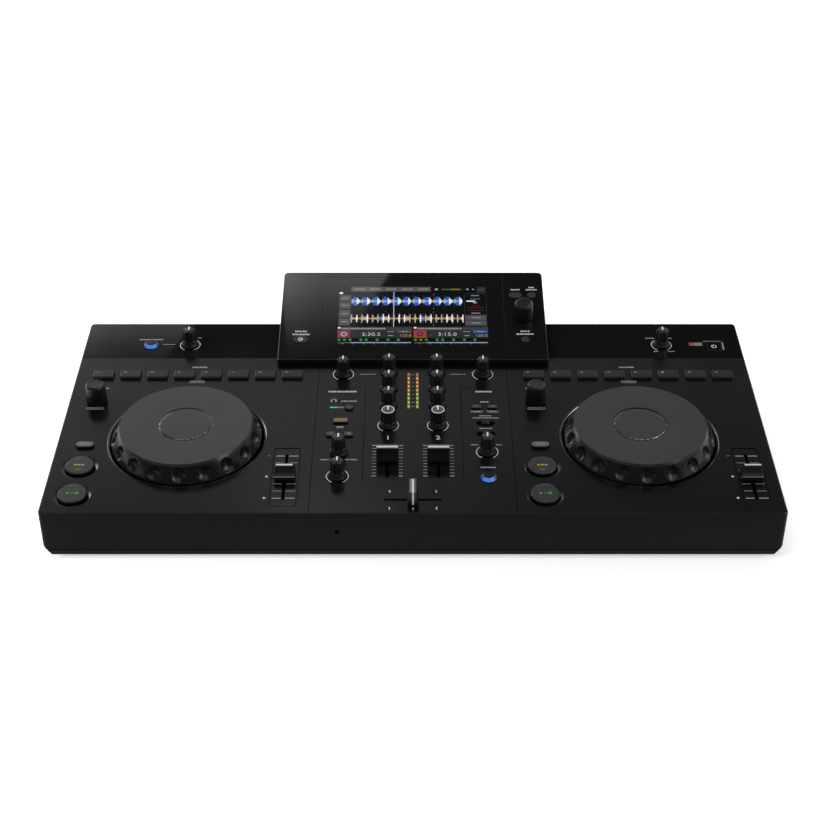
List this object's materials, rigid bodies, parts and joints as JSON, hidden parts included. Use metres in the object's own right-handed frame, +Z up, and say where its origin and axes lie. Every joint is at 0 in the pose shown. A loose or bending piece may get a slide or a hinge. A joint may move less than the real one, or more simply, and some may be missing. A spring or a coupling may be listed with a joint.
{
  "type": "all-in-one dj system",
  "caption": "Flat two-deck music console with jog wheels, a central mixer, pads, sliders and a raised tilted touch display along the back.",
  "frame": {"origin": "middle of the footprint of the whole console, at the bottom of its feet", "axes": "+X to the player's right, +Y away from the player, +Z up"},
  "size_m": [0.65, 0.357, 0.0874],
  "materials": {
    "case": "matt black coat",
    "strip": "glossy black",
    "screen": "glossy dark glass over a lit panel",
    "dark_plastic": "fine matt black",
    "jog_plastic": "satin dark grey",
    "knob_plastic": "satin black",
    "pad_rubber": "soft matt, lit from below",
    "foot_rubber": "matt",
    "steel": "bright",
    "board": "green lacquered board",
    "amber": "translucent, lit",
    "clear": "translucent, lit from below",
    "socket": "moulded socket"
  },
  "bodies": {
    "console": {"top_case": "case", "base_tray": "dark_plastic", "rear_strip": "strip", "display_housing": "strip", "touch_screen": "screen", "control_board": "board", "jog_spindles": "steel", "rear_sockets": "socket", "headphone_jack": "socket", "rubber_feet": "foot_rubber", "case_screws": "steel"},
    "jog_wheel_left": {"jog_wheel_left": "jog_plastic"},
    "hot_cue_pads_left": {"hot_cue_pads_left": "pad_rubber"},
    "cue_button_left": {"cue_button_left": "dark_plastic"},
    "play_button_left": {"play_button_left": "dark_plastic"},
    "shift_button_left": {"shift_button_left": "pad_rubber"},
    "loop_shaft_left": {"loop_shaft_left": "steel"},
    "loop_knob_left": {"loop_knob_left": "knob_plastic"},
    "tempo_slider_left": {"tempo_slider_left": "dark_plastic"},
    "jog_wheel_right": {"jog_wheel_right": "jog_plastic"},
    "hot_cue_pads_right": {"hot_cue_pads_right": "pad_rubber"},
    "cue_button_right": {"cue_button_right": "dark_plastic"},
    "play_button_right": {"play_button_right": "dark_plastic"},
    "shift_button_right": {"shift_button_right": "pad_rubber"},
    "loop_shaft_right": {"loop_shaft_right": "steel"},
    "loop_knob_right": {"loop_knob_right": "knob_plastic"},
    "tempo_slider_right": {"tempo_slider_right": "dark_plastic"},
    "trim_knob_1": {"trim_knob_1": "knob_plastic"},
    "high_knob_1": {"high_knob_1": "knob_plastic"},
    "mid_knob_1": {"mid_knob_1": "knob_plastic"},
    "low_knob_1": {"low_knob_1": "knob_plastic"},
    "filter_knob_1": {"filter_knob_1": "knob_plastic"},
    "trim_knob_2": {"trim_knob_2": "knob_plastic"},
    "high_knob_2": {"high_knob_2": "knob_plastic"},
    "mid_knob_2": {"mid_knob_2": "knob_plastic"},
    "low_knob_2": {"low_knob_2": "knob_plastic"},
    "filter_knob_2": {"filter_knob_2": "knob_plastic"},
    "headphone_mix_knob": {"headphone_mix_knob": "knob_plastic"},
    "headphone_level_knob": {"headphone_level_knob": "knob_plastic"},
    "fx_depth_knob": {"fx_depth_knob": "knob_plastic"},
    "mic_level_knob": {"mic_level_knob": "knob_plastic"},
    "master_level_knob": {"master_level_knob": "knob_plastic"},
    "pairing_button": {"pairing_button": "clear"},
    "fx_on_button": {"fx_on_button": "clear"},
    "source_button": {"source_button": "clear"},
    "master_cue_button": {"master_cue_button": "amber"},
    "channel_cue_buttons": {"channel_cue_buttons": "clear"},
    "beat_buttons": {"beat_buttons": "clear"},
    "power_button": {"power_button": "dark_plastic"},
    "mixer_settings_button": {"mixer_settings_button": "dark_plastic"},
    "back_button": {"back_button": "dark_plastic"},
    "tag_button": {"tag_button": "dark_plastic"},
    "deck_settings_button": {"deck_settings_button": "dark_plastic"},
    "browse_shaft": {"browse_shaft": "steel"},
    "browse_knob": {"browse_knob": "knob_plastic"},
    "channel_fader_1": {"channel_fader_1": "dark_plastic"},
    "channel_fader_2": {"channel_fader_2": "dark_plastic"},
    "crossfader": {"crossfader": "dark_plastic"},
    "fx_select_switch": {"fx_select_switch": "dark_plastic"},
    "fx_channel_switch": {"fx_channel_switch": "dark_plastic"}
  },
  "joints": [
    {"name": "jog_wheel_left_turn", "type": "hinge", "parent": "console", "child": "jog_wheel_left", "pos_m": [-0.20735, -0.06897, 0.0594], "axis": [0, 0, 1], "continuous": true},
    {"name": "hot_cue_pads_left_press", "type": "slide", "parent": "console", "child": "hot_cue_pads_left", "axis": [0, 0, -1], "range_m": [0, 0.0012], "stiffness_N_per_m": 300},
    {"name": "cue_button_left_press", "type": "slide", "parent": "console", "child": "cue_button_left", "axis": [0, 0, -1], "range_m": [0, 0.0012], "stiffness_N_per_m": 300},
    {"name": "play_button_left_press", "type": "slide", "parent": "console", "child": "play_button_left", "axis": [0, 0, -1], "range_m": [0, 0.0012], "stiffness_N_per_m": 300},
    {"name": "shift_button_left_press", "type": "slide", "parent": "console", "child": "shift_button_left", "axis": [0, 0, -1], "range_m": [0, 0.0012], "stiffness_N_per_m": 300},
    {"name": "loop_shaft_left_press", "type": "slide", "parent": "console", "child": "loop_shaft_left", "axis": [0, 0, -1], "range_m": [0, 0.0005], "stiffness_N_per_m": 300},
    {"name": "loop_knob_left_turn", "type": "hinge", "parent": "loop_shaft_left", "child": "loop_knob_left", "pos_m": [-0.29875, -0.01107, 0.0614], "axis": [0, 0, 1], "continuous": true},
    {"name": "tempo_slider_left_slide", "type": "slide", "parent": "console", "child": "tempo_slider_left", "axis": [0, 1, 0], "range_m": [-0.03, 0.03]},
    {"name": "jog_wheel_right_turn", "type": "hinge", "parent": "console", "child": "jog_wheel_right", "pos_m": [0.20735, -0.06897, 0.0594], "axis": [0, 0, 1], "continuous": true},
    {"name": "hot_cue_pads_right_press", "type": "slide", "parent": "console", "child": "hot_cue_pads_right", "axis": [0, 0, -1], "range_m": [0, 0.0012], "stiffness_N_per_m": 300},
    {"name": "cue_button_right_press", "type": "slide", "parent": "console", "child": "cue_button_right", "axis": [0, 0, -1], "range_m": [0, 0.0012], "stiffness_N_per_m": 300},
    {"name": "play_button_right_press", "type": "slide", "parent": "console", "child": "play_button_right", "axis": [0, 0, -1], "range_m": [0, 0.0012], "stiffness_N_per_m": 300},
    {"name": "shift_button_right_press", "type": "slide", "parent": "console", "child": "shift_button_right", "axis": [0, 0, -1], "range_m": [0, 0.0012], "stiffness_N_per_m": 300},
    {"name": "loop_shaft_right_press", "type": "slide", "parent": "console", "child": "loop_shaft_right", "axis": [0, 0, -1], "range_m": [0, 0.0005], "stiffness_N_per_m": 300},
    {"name": "loop_knob_right_turn", "type": "hinge", "parent": "loop_shaft_right", "child": "loop_knob_right", "pos_m": [0.11595, -0.01107, 0.0614], "axis": [0, 0, 1], "continuous": true},
    {"name": "tempo_slider_right_slide", "type": "slide", "parent": "console", "child": "tempo_slider_right", "axis": [0, 1, 0], "range_m": [-0.03, 0.03]},
    {"name": "trim_knob_1_turn", "type": "hinge", "parent": "console", "child": "trim_knob_1", "pos_m": [-0.0673, 0.03333, 0.0614], "axis": [0, 0, 1], "range_deg": [-150, 150]},
    {"name": "high_knob_1_turn", "type": "hinge", "parent": "console", "child": "high_knob_1", "pos_m": [-0.023, 0.03673, 0.0614], "axis": [0, 0, 1], "range_deg": [-150, 150]},
    {"name": "mid_knob_1_turn", "type": "hinge", "parent": "console", "child": "mid_knob_1", "pos_m": [-0.023, 0.00933, 0.0614], "axis": [0, 0, 1], "range_deg": [-150, 150]},
    {"name": "low_knob_1_turn", "type": "hinge", "parent": "console", "child": "low_knob_1", "pos_m": [-0.023, -0.01797, 0.0614], "axis": [0, 0, 1], "range_deg": [-150, 150]},
    {"name": "filter_knob_1_turn", "type": "hinge", "parent": "console", "child": "filter_knob_1", "pos_m": [-0.023, -0.04967, 0.0614], "axis": [0, 0, 1], "range_deg": [-150, 150]},
    {"name": "trim_knob_2_turn", "type": "hinge", "parent": "console", "child": "trim_knob_2", "pos_m": [0.0673, 0.03333, 0.0614], "axis": [0, 0, 1], "range_deg": [-150, 150]},
    {"name": "high_knob_2_turn", "type": "hinge", "parent": "console", "child": "high_knob_2", "pos_m": [0.023, 0.03673, 0.0614], "axis": [0, 0, 1], "range_deg": [-150, 150]},
    {"name": "mid_knob_2_turn", "type": "hinge", "parent": "console", "child": "mid_knob_2", "pos_m": [0.023, 0.00933, 0.0614], "axis": [0, 0, 1], "range_deg": [-150, 150]},
    {"name": "low_knob_2_turn", "type": "hinge", "parent": "console", "child": "low_knob_2", "pos_m": [0.023, -0.01797, 0.0614], "axis": [0, 0, 1], "range_deg": [-150, 150]},
    {"name": "filter_knob_2_turn", "type": "hinge", "parent": "console", "child": "filter_knob_2", "pos_m": [0.023, -0.04967, 0.0614], "axis": [0, 0, 1], "range_deg": [-150, 150]},
    {"name": "headphone_mix_knob_turn", "type": "hinge", "parent": "console", "child": "headphone_mix_knob", "pos_m": [-0.0673, -0.09167, 0.0614], "axis": [0, 0, 1], "range_deg": [-150, 150]},
    {"name": "headphone_level_knob_turn", "type": "hinge", "parent": "console", "child": "headphone_level_knob", "pos_m": [-0.0673, -0.12627, 0.0614], "axis": [0, 0, 1], "range_deg": [-150, 150]},
    {"name": "fx_depth_knob_turn", "type": "hinge", "parent": "console", "child": "fx_depth_knob", "pos_m": [0.0673, -0.09047, 0.0614], "axis": [0, 0, 1], "range_deg": [-150, 150]},
    {"name": "mic_level_knob_turn", "type": "hinge", "parent": "console", "child": "mic_level_knob", "pos_m": [-0.221, 0.08453, 0.0614], "axis": [0, 0, 1], "range_deg": [-150, 150]},
    {"name": "master_level_knob_turn", "type": "hinge", "parent": "console", "child": "master_level_knob", "pos_m": [0.2463, 0.08453, 0.0614], "axis": [0, 0, 1], "range_deg": [-150, 150]},
    {"name": "pairing_button_press", "type": "slide", "parent": "console", "child": "pairing_button", "axis": [0, 0, -1], "range_m": [0, 0.0012], "stiffness_N_per_m": 300},
    {"name": "fx_on_button_press", "type": "slide", "parent": "console", "child": "fx_on_button", "axis": [0, 0, -1], "range_m": [0, 0.0012], "stiffness_N_per_m": 300},
    {"name": "source_button_press", "type": "slide", "parent": "console", "child": "source_button", "axis": [0, 0, -1], "range_m": [0, 0.0012], "stiffness_N_per_m": 300},
    {"name": "master_cue_button_press", "type": "slide", "parent": "console", "child": "master_cue_button", "axis": [0, 0, -1], "range_m": [0, 0.0012], "stiffness_N_per_m": 300},
    {"name": "channel_cue_buttons_press", "type": "slide", "parent": "console", "child": "channel_cue_buttons", "axis": [0, 0, -1], "range_m": [0, 0.0012], "stiffness_N_per_m": 300},
    {"name": "beat_buttons_press", "type": "slide", "parent": "console", "child": "beat_buttons", "axis": [0, 0, -1], "range_m": [0, 0.0012], "stiffness_N_per_m": 300},
    {"name": "power_button_press", "type": "slide", "parent": "console", "child": "power_button", "axis": [0, 0, -1], "range_m": [0, 0.0012], "stiffness_N_per_m": 300},
    {"name": "mixer_settings_button_press", "type": "slide", "parent": "console", "child": "mixer_settings_button", "axis": [0, 0.1633, -0.9866], "range_m": [0, 0.0008], "stiffness_N_per_m": 300},
    {"name": "back_button_press", "type": "slide", "parent": "console", "child": "back_button", "axis": [0, 0.1633, -0.9866], "range_m": [0, 0.0008], "stiffness_N_per_m": 300},
    {"name": "tag_button_press", "type": "slide", "parent": "console", "child": "tag_button", "axis": [0, 0.1633, -0.9866], "range_m": [0, 0.0008], "stiffness_N_per_m": 300},
    {"name": "deck_settings_button_press", "type": "slide", "parent": "console", "child": "deck_settings_button", "axis": [0, 0.1633, -0.9866], "range_m": [0, 0.0008], "stiffness_N_per_m": 300},
    {"name": "browse_shaft_press", "type": "slide", "parent": "console", "child": "browse_shaft", "axis": [0, 0.1633, -0.9866], "range_m": [0, 0.0005], "stiffness_N_per_m": 300},
    {"name": "browse_knob_turn", "type": "hinge", "parent": "browse_shaft", "child": "browse_knob", "pos_m": [0.11, 0.11037, 0.07558], "axis": [0, -0.1633, 0.9866], "continuous": true},
    {"name": "channel_fader_1_slide", "type": "slide", "parent": "console", "child": "channel_fader_1", "axis": [0, 1, 0], "range_m": [-0.0225, 0.0225]},
    {"name": "channel_fader_2_slide", "type": "slide", "parent": "console", "child": "channel_fader_2", "axis": [0, 1, 0], "range_m": [-0.0225, 0.0225]},
    {"name": "crossfader_slide", "type": "slide", "parent": "console", "child": "crossfader", "axis": [1, 0, 0], "range_m": [-0.0225, 0.0225]},
    {"name": "fx_select_switch_slide", "type": "slide", "parent": "console", "child": "fx_select_switch", "axis": [1, 0, 0], "range_m": [-0.004, 0.004]},
    {"name": "fx_channel_switch_slide", "type": "slide", "parent": "console", "child": "fx_channel_switch", "axis": [1, 0, 0], "range_m": [-0.004, 0.004]}
  ]
}
